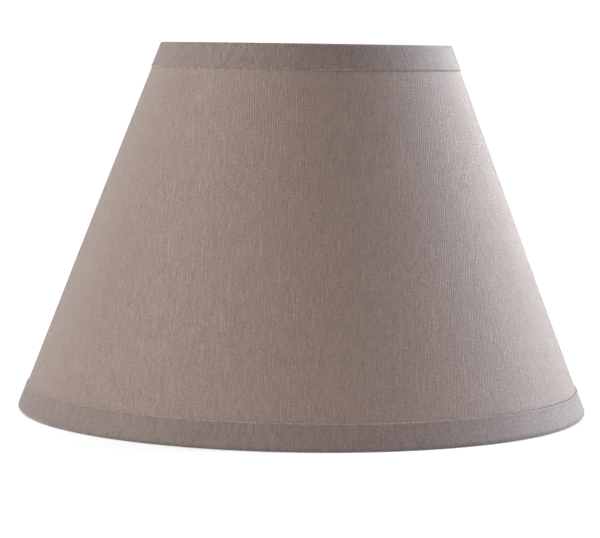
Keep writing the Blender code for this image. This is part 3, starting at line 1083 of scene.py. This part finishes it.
def add_camera():
    camera = bpy.data.objects.new("Camera", bpy.data.cameras.new("Camera"))
    bpy.context.scene.collection.objects.link(camera)
    camera.data.sensor_width = 36.0
    camera.data.lens = CAMERA_LENS
    camera.location = (0.0, -CAMERA_DISTANCE, CAMERA_HEIGHT)
    turn = Matrix.Rotation(math.radians(CAMERA_TURN), 3, "Z")
    pitch = Matrix.Rotation(math.radians(90 - CAMERA_PITCH), 3, "X")
    roll = Matrix.Rotation(math.radians(CAMERA_ROLL), 3, "Z")
    camera.rotation_euler = (turn @ pitch @ roll).to_euler()
    bpy.context.scene.camera = camera


def add_lamp(name, azimuth, distance, height, power, colour):
    """A large soft lamp. Azimuth 0 is in front of the shade and 90 on its right."""
    lamp = bpy.data.objects.new(name, bpy.data.lights.new(name, "AREA"))
    bpy.context.scene.collection.objects.link(lamp)
    lamp.data.shape = "RECTANGLE"
    lamp.data.size, lamp.data.size_y = LAMP_WIDTH, LAMP_HEIGHT
    lamp.data.energy = power
    lamp.data.color = colour
    lamp.location = polar(distance, azimuth - 90, height)
    towards_shade = Vector((0, 0, HEIGHT / 2)) - lamp.location
    lamp.rotation_euler = towards_shade.to_track_quat("-Z", "Y").to_euler()


def add_white_room():
    """White light from all sides, in front of a brighter white background."""
    world = bpy.data.worlds.new("Studio")
    bpy.context.scene.world = world
    world.use_nodes = True
    tree = world.node_tree
    tree.nodes.clear()
    seen = add_node(tree, "ShaderNodeLightPath")["Is Camera Ray"]
    strength = ROOM_LIGHT + seen * (BACKGROUND_LIGHT - ROOM_LIGHT)
    light = add_node(tree, "ShaderNodeBackground", None, {"Color": WHITE, "Strength": strength})
    add_node(tree, "ShaderNodeOutputWorld", None, {"Surface": light})


def floor_material():
    """Pale floor paint that fades out far from the shade and is clear from below."""
    material, tree = new_material("Pale floor")
    matt = add_node(tree, "ShaderNodeBsdfDiffuse", None, {"Color": (0.95, 0.95, 0.95, 1.0)})
    glow = add_node(tree, "ShaderNodeEmission", None, {"Color": WHITE, "Strength": FLOOR_GLOW})
    pale = add_node(tree, "ShaderNodeAddShader", None, {0: matt, 1: glow})
    clear = add_node(tree, "ShaderNodeBsdfTransparent")
    below = add_node(tree, "ShaderNodeNewGeometry")["Backfacing"]
    place = add_node(tree, "ShaderNodeSeparateXYZ", None, {0: object_place(tree)})
    reach = (place["X"] * place["X"] + place["Y"] * place["Y"]).math("SQRT")
    faded = ramp01(reach, 0.3 * FLOOR_RADIUS, 0.9 * FLOOR_RADIUS)
    sockets = {0: below.math("MAXIMUM", faded), 1: pale, 2: clear}
    either = add_node(tree, "ShaderNodeMixShader", None, sockets)
    add_node(tree, "ShaderNodeOutputMaterial", None, {"Surface": either})
    return material


def add_floor():
    mesh = bpy.data.meshes.new("floor")
    shape = bmesh.new()
    bmesh.ops.create_circle(shape, cap_ends=True, segments=96, radius=FLOOR_RADIUS)
    shape.to_mesh(mesh)
    shape.free()
    mesh.materials.append(floor_material())
    floor = bpy.data.objects.new("floor", mesh)
    bpy.context.scene.collection.objects.link(floor)


# ---- The shade -------------------------------------------

cloth = slub_cloth("Slub taupe cloth", CLOTH_WARM, CLOTH_COOL)
tape_cloth = slub_cloth("Slub taupe tape", TAPE_WARM, TAPE_COOL, TAPE_CONTRAST, RIM_FOLD)
yarn = twisted_yarn()
sheet = stiff_sheet()
coat = coated_steel()
plastic = moulded_plastic()
film = film_tape()

rolled_sheets(cloth, sheet)
yarn_tree = fold_yarn_tree()
lower_tape = Tape("bottom_ring", rim_height=0.0, upwards=1, seed=1.7)
upper_tape = Tape("top_ring", rim_height=HEIGHT, upwards=-1, seed=5.3)
lower_edge = folded_tape(
    "lower_tape", "bottom_trim", lower_tape, LOWER_TAPE_COLUMNS, tape_cloth)
upper_edge = folded_tape(
    "upper_tape", "top_trim", upper_tape, UPPER_TAPE_COLUMNS, tape_cloth)
fold_yarns("lower_fold_yarns", lower_edge, yarn_tree, yarn)
fold_yarns("upper_fold_yarns", upper_edge, yarn_tree, yarn)
wire_ring("lower_ring", "bottom_ring", coat)
wire_ring("upper_ring", "top_ring", coat)
for number, degrees in enumerate(ARM_ANGLES, 1):
    spider_arm(f"spider_arm_{number}", f"fitter_arm_{number}", degrees, coat)
pressed_fitter(coat)
moulded_reducer(plastic)
seam_film(film)

add_floor()
add_camera()
add_white_room()
add_lamp("Left lamp", -76, 1.5, 1.2, 30.8, (0.98, 1.01, 1.0))
add_lamp("Left rim lamp", -140, 1.8, 0.9, 5.0, (1.0, 1.0, 1.0))
add_lamp("Front lamp", -30, 2.0, 1.6, 9.8, (1.05, 1.0, 0.95))
add_lamp("Right lamp", 110, 2.1, 0.9, 59.0, (0.91, 1.0, 1.14))
add_lamp("Right rim lamp", 145, 2.0, 0.8, 26.8, (1.0, 1.0, 0.97))
bpy.context.scene.view_settings.view_transform = "Standard"
